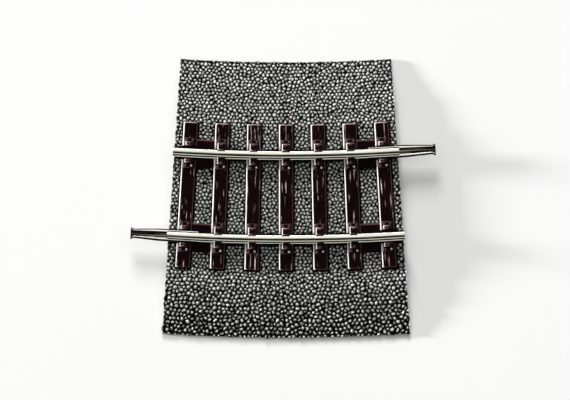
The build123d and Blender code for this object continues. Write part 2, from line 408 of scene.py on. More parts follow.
def stoneField(points, stones, sizes):
    # for each point: how far the surface drops there, how open the spot is, and its stone's tone, which is
    # random and also holds painted shade and light by place across the bed
    b = ballast
    rng = np.random.default_rng(b["seed"])
    lifts = b["lift"] * rng.uniform(-1, 1, len(stones))
    tones = b["plainTone"] + b["toneSpread"] * rng.uniform(-1, 1, len(stones))
    leans = rng.normal(0, b["lean"], (len(stones), 3))
    longways = rng.uniform(0, math.pi, len(stones))
    longways = np.stack([np.cos(longways), np.sin(longways), np.zeros(len(stones))], axis=1)
    across = acrossOf(stones)
    # painted shade on the near slope and painted light on the crown, added to each stone's random tone
    tones = np.clip(tones + valueAcross(across, "tone"), 0, 1)
    sizes = b["stoneSize"] * sizes
    tree = stoneTree(stones)
    noise.seed_set(b["seed"])  # without it, vector noise differs from run to run
    near = np.empty((len(points), b["neighbours"]), dtype=int)
    moved = np.empty((len(points), 3))
    for n, point in enumerate(points):
        spot = Vector((point[0], point[1], b["upright"] * point[2]))
        spot = spot + noise.noise_vector(spot * b["warpScale"]) * b["warp"]
        moved[n] = spot
        near[n] = [hit[1] for hit in tree.find_n(spot, b["neighbours"])]

    # height of each near stone at the point: a stretched dome with a leaning top
    gap = moved[:, None, :] - stones[near]
    longGap = (gap * longways[near]).sum(axis=2) ** 2
    wideGap = (gap ** 2).sum(axis=2) - longGap
    bulge = sizes[near] ** 2 - b["stretch"] ** 2 * wideGap - longGap / b["stretch"] ** 2
    rise = b["stoneRise"] * np.sqrt(np.clip(bulge, 0, None)) + lifts[near] + (gap * leans[near]).sum(axis=2)
    rise = np.where(bulge > 0, rise, 0)

    # the highest stone shows, with a seam where the next one is nearly as high
    order = np.argsort(-rise, axis=1)
    first = np.take_along_axis(rise, order[:, :1], axis=1)[:, 0]
    second = np.take_along_axis(rise, order[:, 1:2], axis=1)[:, 0]
    nearest = np.take_along_axis(near, order[:, :1], axis=1)[:, 0]
    scale = sizes[nearest] / b["plainSize"]
    top = b["stoneRise"] * sizes.max() + b["lift"]
    drop = np.clip(top - first, 0, b["deepest"])
    ragged = np.array([noise.noise(Vector(spot) * b["topNoiseScale"]) for spot in moved]) * b["topNoise"]
    # openness sets where the stone tops get painted highlights and the seams get painted shade
    openness = smooth((first / scale + ragged - b["topStart"]) / b["topBlend"])
    seam = smooth((first - second) / scale / b["seamBlend"])
    openness = openness * (b["seamOpenness"] + (1 - b["seamOpenness"]) * seam)
    # smaller pale tops, and so more painted shade, on the near slope
    openness = openness ** valueAcross(across[nearest], "narrow")
    return drop, openness, tones[nearest]


def grooveShadeShare(rows, angles):
    # 0 right beside a sleeper or a rail's foot, 1 clear of them; it sets the painted shade there and how far
    # the groove sinks
    grooveShade = ballast["grooveShade"]
    halfLong, halfShort = track["halfSleeper"]
    radii = track["radius"] - rows[:, None]
    footGap = np.abs(np.abs(rows) - track["railOffset"]) - track["footHalf"]
    share = smooth(footGap / grooveShade["rail"])[:, None]
    endGap = np.clip(np.abs(rows)[:, None] - halfLong, 0, None) / grooveShade["end"]
    for turn in sleeperTurns:
        toRight = np.clip(((angles - turn) * radii - halfShort) / grooveShade["right"], 0, None)
        toLeft = np.clip(((turn - angles) * radii - halfShort) / grooveShade["left"], 0, None)
        share = np.minimum(share, smooth(np.hypot(toRight + toLeft, endGap) - ballast["grooveFloor"]))
    return share


def bedGrid():
    # rows across the bed, the angles of each row's columns, and which cells lie in the grid's pockets
    b = ballast
    gap = b["pocketGap"]
    halfLong, halfShort = [half + gap for half in track["halfSleeper"]]
    halfTie = track["halfTie"] + gap
    halfPlate = track["halfEndPlate"] + gap
    side = [track["railOffset"] + sign * half for half in (halfTie, halfPlate) for sign in (-1, 1)]
    side = sorted(side + [halfLong, b["halfCrown"], b["halfWidth"]])
    rows = np.array(stepsBetween([-v for v in reversed(side)] + side, b["step"]))

    # columns follow the sides of the straight sleepers, so their angles differ a little from row to row
    sleeperHalf = np.arcsin(halfShort / (track["radius"] - rows))
    lines = [np.full(len(rows), -halfTurn)]
    for turn in sleeperTurns:
        lines += [turn - sleeperHalf, turn + sleeperHalf]
    lines.append(np.full(len(rows), halfTurn))
    columns = []
    spans = []
    for span, (low, high) in enumerate(zip(lines, lines[1:])):
        width = float(np.mean(high - low)) * track["radius"]
        count = max(1, round(width / b["step"]))
        columns += [low + (high - low) * n / count for n in range(count)]
        spans += [span] * count
    columns.append(lines[-1])
    lastSpan = len(lines) - 2

    def isPocket(across, span):
        # odd spans hold the sleepers, even ones the strips between them
        if span % 2 == 1:
            return abs(across) < halfLong
        if span in (0, lastSpan):
            return False
        halfStrip = halfPlate if span in (2, lastSpan - 2) else halfTie
        return abs(abs(across) - track["railOffset"]) < halfStrip

    middles = (rows[1:] + rows[:-1]) / 2
    return rows, np.array(columns).T, np.array([[isPocket(m, s) for s in spans] for m in middles])


def addPockets(bm, outline):
    # sides straight down from the holes in the top to a flat floor
    outlineSet = set(outline)
    brim = [edge for edge in bm.edges if edge.is_boundary and edge not in outlineSet]
    low = {}
    for vert in [vert for edge in brim for vert in edge.verts]:
        if vert not in low:
            low[vert] = bm.verts.new((vert.co.x, vert.co.y, track["gridBottom"]), vert)
            # the pocket walls fade to black painted shade at their foot
            low[vert][bm.verts.layers.float["openness"]] = 0
    floorEdges = []
    for edge in brim:
        start, end = edge.verts
        bm.faces.new((start, end, low[end], low[start]))
        floorEdges.append(bm.edges.get((low[start], low[end])))
    bmesh.ops.triangle_fill(bm, use_beauty=True, edges=floorEdges, normal=(0, 0, 1))


def addHollows(bm, outline):
    # underside with shallow hollows between ribs
    b = ballast
    rimTurn = b["hollowRim"] / track["radius"]
    ribTurn = b["hollowRib"] / track["radius"]
    bayTurn = (track["turn"] - 2 * rimTurn - (b["hollowBays"] - 1) * ribTurn) / b["hollowBays"]
    steps = b["hollowSteps"]
    loops = []
    for bay in range(b["hollowBays"]):
        start = -halfTurn + rimTurn + bay * (bayTurn + ribTurn)
        turns = [start + bayTurn * s / steps for s in range(steps + 1)]
        for near, far in b["hollowColumns"]:
            for sign in (-1, 1):
                corners = [arcPoint(track["radius"] + sign * near, t) for t in turns]
                corners += [arcPoint(track["radius"] + sign * far, t) for t in reversed(turns)]
                loops.append([bm.verts.new(c) for c in corners])
    hollowEdges = [bm.edges.new((loop[a - 1], loop[a])) for loop in loops for a in range(len(loop))]
    bmesh.ops.triangle_fill(bm, use_beauty=True, edges=outline + hollowEdges, normal=(0, 0, -1))
    for loop in loops:
        roof = [bm.verts.new((v.co.x, v.co.y, b["hollowHeight"])) for v in loop]
        for a in range(len(loop)):
            bm.faces.new((loop[a - 1], loop[a], roof[a], roof[a - 1]))
        bm.faces.new(roof)


def makeBallast():
    b = ballast
    rows, angles, pocket = bedGrid()
    rowCount, columnCount = angles.shape
    radii = track["radius"] - rows
    base = np.empty((rowCount, columnCount, 3))
    base[:, :, 0] = radii[:, None] * np.sin(angles)
    base[:, :, 1] = track["radius"] - radii[:, None] * np.cos(angles)
    base[:, :, 2] = bedHeight(rows)[:, None]

    # surface moves straight down, and also inwards near the bed's edges
    outward = np.stack([np.sin(angles), -np.cos(angles)], axis=2)
    along = np.stack([np.cos(angles), np.sin(angles)], axis=2)
    sideWeight = smooth(1 - (b["halfWidth"] - np.abs(rows)) / b["roundOver"]) * np.sign(rows)
    endGap = (halfTurn - np.abs(angles)) * radii[:, None]
    endWeight = smooth(1 - endGap / b["roundOver"]) * -np.sign(angles)
    inward = outward * sideWeight[:, None, None] + along * endWeight[:, :, None]
    direction = np.concatenate([inward, np.full((rowCount, columnCount, 1), -1.0)], axis=2)
    direction /= np.linalg.norm(direction, axis=2)[:, :, None]

    # border nodes in order round the bed, and rings of points straight below them
    lastRow = rowCount - 1
    lastColumn = columnCount - 1
    border = [(0, j) for j in range(columnCount)] + [(i, lastColumn) for i in range(1, rowCount)]
    border += [(lastRow, j) for j in range(lastColumn - 1, -1, -1)]
    border += [(i, 0) for i in range(lastRow - 1, 0, -1)]
    rim = np.array([base[node] for node in border])
    rimInward = np.array([inward[node] for node in border])
    rimInward /= np.linalg.norm(rimInward, axis=1)[:, None]
    rings = [rim * (1, 1, 1 - ring / b["wallRings"]) for ring in range(1, b["wallRings"] + 1)]

    used = np.zeros((rowCount, columnCount), dtype=bool)
    cells = list(zip(*np.nonzero(~pocket)))
    for i, j in cells:
        used[i:i + 2, j:j + 2] = True
    topNodes = list(zip(*np.nonzero(used)))
    topCount = len(topNodes)
    points = np.concatenate([np.array([base[node] for node in topNodes])] + rings)
    stones, sizes = placeStones()
    print("ballast", len(stones), "stones,", len(points), "points")
    drop, openness, tone = stoneField(points, stones, sizes)
    groove = grooveShadeShare(rows, angles)
    groove = np.array([groove[node] for node in topNodes])
    # painted shade beside the sleepers and the rails' feet, and the groove that sinks there
    openness[:topCount] *= groove
    drop[:topCount] += (b["deepest"] - drop[:topCount]) * (1 - groove) * b["grooveDepth"]

    bm = bmesh.new()
    opennessLayer = bm.verts.layers.float.new("openness")
    toneLayer = bm.verts.layers.float.new("tone")
    nodes = {}
    for n, node in enumerate(topNodes):
        vert = bm.verts.new(base[node] + direction[node] * drop[n])
        vert[opennessLayer] = openness[n]
        vert[toneLayer] = tone[n]
        nodes[node] = vert
    for i, j in cells:
        bm.faces.new((nodes[i, j], nodes[i, j + 1], nodes[i + 1, j + 1], nodes[i + 1, j]))

    # walls, whose stones fade towards the bed's foot
    above = [nodes[node] for node in border]
    n = topCount
    for level in rings:
        here = []
        for spot, inwards, top in zip(level, rimInward, rim[:, 2]):
            stony = float(smooth(1 - (top - spot[2]) / b["wallFade"]))
            clear = float(smooth(spot[2] / b["footFade"]))
            inset = drop[n] * stony + b["wallDrop"] * (1 - stony)
            inset = inset * clear + b["footInset"] * (1 - clear)
            vert = bm.verts.new((spot[0] + inwards[0] * inset, spot[1] + inwards[1] * inset, spot[2]))
            vert[opennessLayer] = openness[n] * stony + b["wallOpenness"] * (1 - stony)
            vert[toneLayer] = tone[n] * stony + b["plainTone"] * (1 - stony)
            here.append(vert)
            n += 1
        for a in range(len(here)):
            c = (a + 1) % len(here)
            bm.faces.new((above[a], above[c], here[c], here[a]))
        above = here
    outline = [bm.edges.get((above[a], above[(a + 1) % len(above)])) for a in range(len(above))]
    addPockets(bm, outline)
    addHollows(bm, outline)
    return finishMesh(bm, "ballastBed", sharpAngle=60)


def makeBallastMaterial():
    b = ballast
    material, tree, shader = newMaterial("ballastStone", 0.5)
    spot = addNode(tree, "ShaderNodeTexCoord").outputs["Object"]
    patches = placeGroup(tree, mottle, {"Vector": spot, "Scale": 2600.0})
    # painted highlights on the open stone tops, and painted shade in the seams and beside the sleepers and
    # rails
    openness = attributeNode(tree, "openness")
    flank = mixNode(tree, attributeNode(tree, "tone"), *b["flankColours"])
    stone = mixNode(tree, rangeNode(tree, openness, 0.7, 0.96), flank, b["topHighlightColour"])
    stone = mixNode(tree, mathNode(tree, "MULTIPLY", patches["Fine"], 0.4), stone, b["dustColour"])
    colour = mixNode(tree, rangeNode(tree, openness, 0.15, 0.65), b["seamShadeColour"], stone)
    feed(tree, shader["Base Color"], colour)
    feed(tree, shader["Roughness"], rangeNode(tree, patches["Broad"], 0, 1, 0.32, 0.5))
    feed(tree, shader["Specular IOR Level"], rangeNode(tree, openness, 0.3, 0.9, 0.0, 0.9))
    addBump(tree, shader, patches["Fine"], 0.4, 0.00003)
    return material


addPiece("ballastBed", makeBallast(), "ballast_bed", "track", makeBallastMaterial())


# Sleeper grid: one dark moulding with grained sleepers, strips under the rails and a chair for each rail
grid = {
    "seed": 5,
    # sleepers
    "step": (0.28, 0.11),  # between the points of a sleeper's top, along it and across it
    "edgeRound": 0.24,
    "edgeSteps": (0.0, 0.06, 0.2, 0.45, 0.75, 1.05),  # points in a rounded edge, as shares of its rounding
    "edgeWander": 0.045,  # sideways wander of a sleeper's long edges
    "wanderScale": 0.55,
    "wanderSeeds": (3.0, 9.0),
    "grain": (7.0, 0.34, 0.12),  # length, width and depth
    "fineGrain": (2.2, 0.16, 0.045),
    "deepestGrain": 0.12,
    "grainFade": 0.15,  # no grain on an edge, and full grain this far in
    "bend": 0.25,  # sideways bend of the grain
    "bendLength": (5.0, 1 / 0.3),
    "trough": 1.41,  # half width of the gap for a joiner in an end sleeper
    "troughStep": 0.01,
    # paler worn edges, with painted highlights that are strongest on the left and far edges and weakest on
    # the right and front, and scratches
    "wornIn": (0.0, 0.045, 0.11, 0.2),  # distances in from an edge where wear and highlight start, are full twice, and end
    "edgeReach": 0.3,  # how far in an edge's own share holds
    "shadedEdgeWear": 0.32,  # share on the edges to the right and to the front, which get less painted highlight because they lie in shade
    "leftReach": 0.4,
    "leftWearAndHighlight": 1.7,  # share on the edges to the left, worn and given a painted highlight where the light falls
    "leftNarrowing": 0.68,  # distances count as so much less there, so the worn and highlighted line is wider
    "scratch": (4.0, 0.16),  # length and width
    "scratchStart": 0.38,
    "scratchBlend": 0.22,
    "scratchWear": 1.0,
    "chairWearAndHighlight": (1.6, 0.42, 0.06),  # share on a chair's left, far and other edges, highest on the left and far edges as painted highlight
    "chairLeft": (0.24, 0.15),  # where across a chair its left edge's share ends, and over how much
    "chairFar": (0.8, 0.1),  # where its far edge's share starts, and over how much
    "studWearAndHighlight": (0.3, 0.5, 0.9),  # on the far side of a rail, then on its near side at the left and right: wear with painted highlights on the heads
    "stripWearAndHighlight": 0.4,
    # chairs, measured out from the middle of the rail and up from its foot
    "plateHalf": (3.1, 1.12),
    "plateCorner": 0.35,
    "smallestCorner": 0.02,
    "plateSunk": 0.15,
    "plateRoom": 0.005,  # below a rail that lies on its plate
    # points up a plate's edge: how far in, how far down, and wear with painted highlight
    "plateEdge": ((0.0, 0.07, 0.2), (0.02, 0.025, 0.5), (0.07, 0.0, 0.4), (0.16, 0.0, 0.0)),
    "clipHalf": 0.82,
    "clipInner": 0.7,
    "clipOuter": 2.2,
    "clipTop": 0.72,
    "clipSunk": 0.08,
    "clipFlats": (0.34, 0.3),  # from the outer and inner corners to where the worn tone has ended
    "clipRounds": (0.16, 0.12),
    "clipCornerWear": 0.9,
    "clipShoulder": 0.5,
    "clipNose": (1.05, 0.34, 0.45),  # its root, and its underside there and at the tip
    # rings in from a clip's end: share of its half length, how much smaller, and wear with painted highlight
    "clipEnds": ((1.0, 0.08, 0.5), (0.96, 0.02, 1.0), (0.88, 0.0, 1.0), (0.68, 0.0, 0.0)),
    "boltAt": 1.805,
    "boltRadius": 0.25,
    "boltRise": 0.22,
    "boltSunk": 0.1,
    "screwAt": (2.65, 0.62),
    "screwRadius": 0.25,
    "screwRise": 0.18,
    "screwSunk": 0.05,
    "studSides": 12,
    # rings up a bolt's or a screw's dome: share of its width, share of its height from the top, and wear with
    # a painted highlight on the top
    "studDome": ((1.0, 0.45, 0.5), (0.86, 0.14, 1.0), (0.5, 0.0, 1.0)),
    # strips
    "stripStep": (0.35, 0.3),
    "stripRound": 0.12,
    "stripSink": 0.008,  # below the troughs in the end sleepers
    "stripGrain": (1.1, 0.02),  # scale and depth
    # colours
    "plasticColours": ((0.0015, 0.0003, 0.0005), (0.006, 0.0009, 0.0016)),
    "scuffedHighlightColour": (0.22, 0.125, 0.13),
    "wornHighlightColour": (0.92, 0.89, 0.87),
    "shineTint": (1.0, 0.7, 0.76),
}


def wearHighlightVert(bm, point, wearAndHighlight):
    vert = bm.verts.new(point)
    vert[bm.verts.layers.float["wearAndHighlight"]] = wearAndHighlight
    return vert


def addSlab(bm, tops, bottom):
    # a block from the rows of points and the wear and painted highlight of its top: upright sides and a flat
    # underside
    verts = [[wearHighlightVert(bm, point, wearAndHighlight) for point, wearAndHighlight in row] for row in tops]
    for i in range(len(tops) - 1):
        for j in range(len(tops[0]) - 1):
            bm.faces.new((verts[i][j], verts[i][j + 1], verts[i + 1][j + 1], verts[i + 1][j]))
    rim = verts[0] + [row[-1] for row in verts[1:]] + verts[-1][-2::-1] + [row[0] for row in verts[-2:0:-1]]
    low = [bm.verts.new((v.co.x, v.co.y, bottom)) for v in rim]
    for a in range(len(rim)):
        bm.faces.new((rim[a - 1], rim[a], low[a], low[a - 1]))
    bm.faces.new(low)


def roundDrop(distance, radius):
    # how far a rounded edge lies below the flat top, at a distance in from the side
    inside = max(0.0, radius - distance)
    return radius - math.sqrt(max(0.0, radius * radius - inside * inside))


def edgeWearAndHighlight(distance):
    # a thin line just inside a rounded edge, paler from wear and painted highlight
    start, low, high, end = grid["wornIn"]
    return float(smooth((distance - start) / (low - start)) * smooth((end - distance) / (end - high)))


def edgeSteps(half, radius, step, breaks=()):
    # from -half to half, closer together in the rounded edges
    fine = [half - radius * share for share in grid["edgeSteps"]]
    marks = sorted({sign * mark for mark in (*breaks, fine[-1]) for sign in (-1, 1)})
    return [-v for v in fine[:-1]] + stepsBetween(marks, step) + list(reversed(fine[:-1]))


def sleeperFrame(turn):
    # middle of a sleeper, its direction away from the curve's centre, and the direction along the track
    outward = Vector((math.sin(turn), -math.cos(turn), 0))
    along = Vector((math.cos(turn), math.sin(turn), 0))
    return arcPoint(track["radius"], turn), outward, along


def streakAt(a, b, size, shift):
    # noise that is stretched along a sleeper
    return noise.noise(Vector((a / size[0], b / size[1], shift)))


def sleeperTopPoints(number, turn):
    g = grid
    halfLong, halfShort = track["halfSleeper"]
    middle, outward, along = sleeperFrame(turn)
    isEnd = number in (0, track["sleepers"] - 1)
    rails = track["railOffset"]
    breaks = []
    if isEnd:
        for edge in (rails - g["trough"], rails + g["trough"]):
            breaks += [edge - g["troughStep"], edge + g["troughStep"]]
    rows = edgeSteps(halfLong, g["edgeRound"], g["step"][0], breaks)
    columns = edgeSteps(halfShort, g["edgeRound"], g["step"][1])
    shift = 31.7 * number + g["seed"]  # another grain for each sleeper
    tops = []
    for a in rows:
        left, right = [g["edgeWander"] * noise.noise(Vector((a * g["wanderScale"], shift, seed)))
                       for seed in g["wanderSeeds"]]
        inTrough = isEnd and abs(abs(a) - rails) < g["trough"]
        row = []
        for b in columns:
            sideways = b * (1 - abs(left if b < 0 else right) / halfShort)
            if inTrough:
                height = track["stripTop"]
                wearAndHighlight = 0.0
            else:
                edge = min(halfLong - abs(a), halfShort - abs(b))
                bend = g["bend"] * streakAt(a, b, g["bendLength"], shift)
                groove = max(0.0, streakAt(a, b + bend, g["grain"], shift)) * g["grain"][2]
                groove += max(0.0, streakAt(a, b + bend, g["fineGrain"], shift + 4)) * g["fineGrain"][2]
                groove = min(groove, g["deepestGrain"]) * min(1.0, edge / g["grainFade"])
                height = track["sleeperTop"] - roundDrop(edge, g["edgeRound"]) - groove
                scratch = streakAt(a, b + bend, g["scratch"], shift + 8) - g["scratchStart"]
                scratch = g["scratchWear"] * float(smooth(scratch / g["scratchBlend"]))
                # left edges get the most wear and painted highlight; right and front edges get less because
                # they lie in shade
                if halfShort + b < g["leftReach"]:
                    wearAndHighlight = g["leftWearAndHighlight"] * edgeWearAndHighlight(edge * g["leftNarrowing"])
                else:
                    less = halfShort - b < g["edgeReach"] or halfLong - a < g["edgeReach"]
                    wearAndHighlight = (g["shadedEdgeWear"] if less else 1.0) * edgeWearAndHighlight(edge)
                wearAndHighlight = max(wearAndHighlight, scratch)
            row.append((middle + outward * a + along * sideways + Vector((0, 0, height)), wearAndHighlight))
        tops.append(row)
    return tops


def wearAndHighlightShare(spot, low, high):
    # how worn and how highlighted a chair's edge is painted, by the side that it is on: most on the left and
    # far sides, where the light falls
    left, far, others = grid["chairWearAndHighlight"]
    leftEnd, leftBlend = grid["chairLeft"]
    farStart, farBlend = grid["chairFar"]
    x = (spot.x - low[0]) / (high[0] - low[0])
    y = (spot.y - low[1]) / (high[1] - low[1])
    leftShare = left * float(smooth((leftEnd - x) / leftBlend))
    return max(leftShare, far * float(smooth((y - farStart) / farBlend)), others)


def addLoops(bm, loops, wearsAndHighlights, share=None):
    # skin over loops with the same number of points, closed at both ends
    spots = [p for loop in loops for p in loop]
    low = [min(p[k] for p in spots) for k in (0, 1)]
    high = [max(p[k] for p in spots) for k in (0, 1)]
    rings = []
    for loop, wearAndHighlight in zip(loops, wearsAndHighlights):
        rings.append([wearHighlightVert(bm, p, w * (wearAndHighlightShare(p, low, high) if share is None else share))
                      for p, w in zip(loop, wearAndHighlight)])
    for low, high in zip(rings, rings[1:]):
        for a in range(len(low)):
            bm.faces.new((low[a - 1], low[a], high[a], high[a - 1]))
    bm.faces.new(rings[0])
    bm.faces.new(rings[-1])


def addPlate(bm, place, start, end, low, high):
    # flat plate with rounded corners and a rounded upper edge; start and end are measured out from the rail
    g = grid
    loops = []
    wearsAndHighlights = []
    steps = [(0.0, low, 0.0)] + [(inset, high - down, wearAndHighlight) for inset, down, wearAndHighlight in g["plateEdge"]]
    for inset, height, wearAndHighlight in steps:
        a, b, w = start + inset, end - inset, g["plateHalf"][1] - inset
        corner = max(g["smallestCorner"], g["plateCorner"] - inset)
        box = filletLoop([(a, -w), (b, -w), (b, w), (a, w)], [corner] * 4, 5)
        loops.append([place(x, y, height) for x, y in box])
        wearsAndHighlights.append([wearAndHighlight] * len(box))
    addLoops(bm, loops, wearsAndHighlights)


def addStud(bm, place, x, y, radius, low, high, share):
    # small round head with a domed top
    sides = grid["studSides"]
    turns = [math.tau * n / sides for n in range(sides)]
    loops = []
    wearsAndHighlights = []
    steps = [(1.0, low, 0.0)]
    steps += [(size, high - down * (high - low), wearAndHighlight) for size, down, wearAndHighlight in grid["studDome"]]
    for size, height, wearAndHighlight in steps:
        reach = radius * size
        loops.append([place(x + reach * math.cos(t), y + reach * math.sin(t), height) for t in turns])
        wearsAndHighlights.append([wearAndHighlight] * sides)
    addLoops(bm, loops, wearsAndHighlights, share)


def addClip(bm, place, inner, overlaps):
    # block beside the rail; its nose reaches over the rail's foot
    g = grid
    outer, top, low = g["clipOuter"], g["clipTop"], -g["clipSunk"]
    outerFlat, innerFlat = g["clipFlats"]
    noseRoot, noseLow, noseTip = g["clipNose"]
    outline = [(outer, low), (outer, top), (outer - outerFlat, top), (inner + innerFlat, top), (inner, top)]
    outline += [(inner, noseTip), (noseRoot, noseLow), (noseRoot, low)] if overlaps else [(inner, low)]
    radii = [0.0] * len(outline)
    radii[1], radii[4] = g["clipRounds"]
    tones = [0.0] * len(outline)
    tones[1] = tones[4] = g["clipCornerWear"]
    outline = filletLoop(outline, radii, 3)
    tones = filletTones(tones, radii, 3)
    loops = []
    wearsAndHighlights = []
    middleX = (inner + outer) / 2
    ends = [(-out, shrink, wearAndHighlight) for out, shrink, wearAndHighlight in g["clipEnds"]]
    for y, shrink, wearAndHighlight in ends + [(-y, shrink, wearAndHighlight) for y, shrink, wearAndHighlight in reversed(ends)]:
        loop = []
        for x, z in outline:
            x += shrink if x < middleX else -shrink
            z -= shrink if z > g["clipShoulder"] else 0.0
            loop.append(place(x, y * g["clipHalf"], track["seat"] + z))
        loops.append(loop)
        wearsAndHighlights.append([max(tone, wearAndHighlight) if z > g["clipShoulder"] else tone
                      for tone, (x, z) in zip(tones, outline)])
    addLoops(bm, loops, wearsAndHighlights)


def addChair(bm, turn, railSide, isEnd):
    g = grid
    middle, outward, along = sleeperFrame(turn)
    plateLow = track["sleeperTop"] - g["plateSunk"]
    plateEnd = g["plateHalf"][0]
    clipTop = track["seat"] + g["clipTop"]
    far, left, right = g["studWearAndHighlight"]

    def beside(side):
        # for points given by their distance from the rail on one side of it, along the track and up
        def place(x, y, z):
            across = railSide * track["railOffset"] + side * x
            return middle + outward * across + along * y + Vector((0, 0, z))
        return place

    for side in (-1, 1):
        place = beside(side)
        if isEnd:
            addPlate(bm, place, g["trough"], plateEnd, plateLow, track["seat"])
        addClip(bm, place, g["trough"] if isEnd else g["clipInner"], not isEnd)
        addStud(bm, place, g["boltAt"], 0, g["boltRadius"],
                clipTop - g["boltSunk"], clipTop + g["boltRise"], far)
        for row in (-1, 1):
            share = far if side < 0 else left if row < 0 else right
            addStud(bm, place, g["screwAt"][0], row * g["screwAt"][1], g["screwRadius"],
                    track["seat"] - g["screwSunk"], track["seat"] + g["screwRise"], share)
    if not isEnd:
        addPlate(bm, beside(1), -plateEnd, plateEnd, plateLow, track["seat"] - g["plateRoom"])


def addStrip(bm, radius, half, startTurn, endTurn):
    # strip along the curve with softly rounded edges
    g = grid
    top = track["stripTop"] - g["stripSink"]
    grainScale, grainDepth = g["stripGrain"]
    stepAlong, stepAcross = g["stripStep"]
    count = round((endTurn - startTurn) * radius / stepAlong)
    tops = []
    for offset in edgeSteps(half, g["stripRound"], stepAcross):
        edge = half - abs(offset)
        # only the far edge is painted pale, as wear and as a highlight from the light behind
        wearAndHighlight = g["stripWearAndHighlight"] * edgeWearAndHighlight(edge) if offset < 0 else 0.0
        row = []
        for n in range(count + 1):
            turn = startTurn + (endTurn - startTurn) * n / count
            spot = arcPoint(radius + offset, turn, top - roundDrop(edge, g["stripRound"]))
            grain = noise.noise(Vector((spot.x, spot.y, 0)) * grainScale)
            spot.z -= grainDepth * max(0.0, grain)
            row.append((spot, wearAndHighlight))
        tops.append(row)
    addSlab(bm, tops, track["gridBottom"])


def makeSleeperGrid():
    bm = bmesh.new()
    bm.verts.layers.float.new("wearAndHighlight")
    last = track["sleepers"] - 1
    for number, turn in enumerate(sleeperTurns):
        addSlab(bm, sleeperTopPoints(number, turn), track["gridBottom"])
        for railSide in (-1, 1):
            addChair(bm, turn, railSide, number in (0, last))
    for radius in railRadii.values():
        addStrip(bm, radius, track["halfTie"], sleeperTurns[0], sleeperTurns[-1])
        for first in (0, last - 1):
            addStrip(bm, radius, track["halfEndPlate"], sleeperTurns[first], sleeperTurns[first + 1])
    return finishMesh(bm, "sleeperGrid", sharpAngle=35)


def makePlasticMaterial():
    g = grid
    material, tree, shader = newMaterial("sleeperPlastic", 0.45)
    feed(tree, shader["Specular IOR Level"], 0.04)
    feed(tree, shader["Specular Tint"], g["shineTint"])
    spot = addNode(tree, "ShaderNodeTexCoord").outputs["Object"]
    patches = placeGroup(tree, mottle, {"Vector": spot, "Scale": 3500.0})
    patchy = rangeNode(tree, patches["Fine"], 0, 1, 0.5, 1)
    # pale wear with painted highlights on the edges, reddish where it is weaker
    wearAndHighlight = mathNode(tree, "MULTIPLY", attributeNode(tree, "wearAndHighlight"), patchy)
    plastic = mixNode(tree, patches["Broad"], *g["plasticColours"])
    colour = mixNode(tree, rangeNode(tree, wearAndHighlight, 0.0, 0.5), plastic, g["scuffedHighlightColour"])
    colour = mixNode(tree, rangeNode(tree, wearAndHighlight, 0.4, 0.95), colour, g["wornHighlightColour"])
    feed(tree, shader["Base Color"], colour)
    feed(tree, shader["Roughness"], rangeNode(tree, patches["Fine"], 0, 1, 0.36, 0.5))
    addBump(tree, shader, patches["Fine"], 0.35, 0.00002)
    return material


addPiece("sleeperGrid", makeSleeperGrid(), "sleeper_grid", "track", makePlasticMaterial())


# Rails: drawn nickel silver, bright on top where the wheels run
rail = {
    "height": 2.1,
    "headHalf": 0.375,
    "headSide": 0.4,
    "headTaper": 0.18,
    "webHalf": 0.2,
    "footEdge": 0.3,
    "footRoot": 0.55,
    "footLead": 0.2,
    "endRound": 0.04,
    "endShrink": 0.024,
    "step": 0.6,
    "rounds": {"footEdge": 0.05, "root": 0.12, "underHead": 0.1, "headSide": 0.05, "headTop": 0.07},
    # shine: 1 and more is bright, 0 and less is black, which stands for painted shade and dark reflections
    "underShine": 0.5,
    "webShine": (-0.1, 0.55),  # at the foot, where shade is painted black, and below the head
    "headShine": (0.6, 1),  # at the bottom of its side and on top
    # across the top of the foot, from its edge to the web: distance from the middle and shine; a dark band
    # crosses the middle, and painted shade lies beside the web
    "footShine": [
        (0.99, 0.85), (0.87, 0.8), (0.81, -0.5), (0.62, -0.5),
        (0.55, 0.95), (0.44, 0.85), (0.38, -0.3),
    ],
    "farFrom": 0.6,
    "farShade": -0.3,  # painted shade on the foot's far half, beyond this distance from the middle
    "nearFrom": 0.28,
    "nearCornerShade": 0.22,  # painted shade on the head's near corner
    "cornerDepth": 0.2,
    "clipReflection": -0.6,  # painted dark reflection of the clips, on the head's far edge beside them
    "clipReflectionWidth": 0.12,
    "clipReach": 0.84,
    "clipBlend": 0.08,
    "metal": {
        "bright": (0.97, 0.96, 0.91),
        "worn": ((0.5, 0.485, 0.36), (0.76, 0.74, 0.58)),
        "roughness": 0.3,
    },
}


def skinWithUv(bm, loops, distances, shines):
    # skin over loops, with a UV map that runs along the length in millimetres and round the section
    uvLayer = bm.loops.layers.uv.new("UVMap")
    shineLayer = bm.verts.layers.float.new("shine")
    rings = [[bm.verts.new(p) for p in loop] for loop in loops]
    for ring, tones in zip(rings, shines):
        for vert, tone in zip(ring, tones):
            vert[shineLayer] = tone
    around = [0.0]
    middle = loops[len(loops) // 2]
    for a in range(len(middle)):
        around.append(around[-1] + (Vector(middle[(a + 1) % len(middle)]) - Vector(middle[a])).length)
    for n, (low, high) in enumerate(zip(rings, rings[1:])):
        for a in range(len(low)):
            c = (a + 1) % len(low)
            face = bm.faces.new((low[a], low[c], high[c], high[a]))
            spots = ((n, a), (n, a + 1), (n + 1, a + 1), (n + 1, a))
            for corner, (ring, step) in zip(face.loops, spots):
                corner[uvLayer].uv = (distances[ring], around[step])
    for ring, distance in ((rings[0], distances[0]), (rings[-1], distances[-1])):
        face = bm.faces.new(ring)
        for corner in face.loops:
            corner[uvLayer].uv = (corner.vert.co.z, distance)


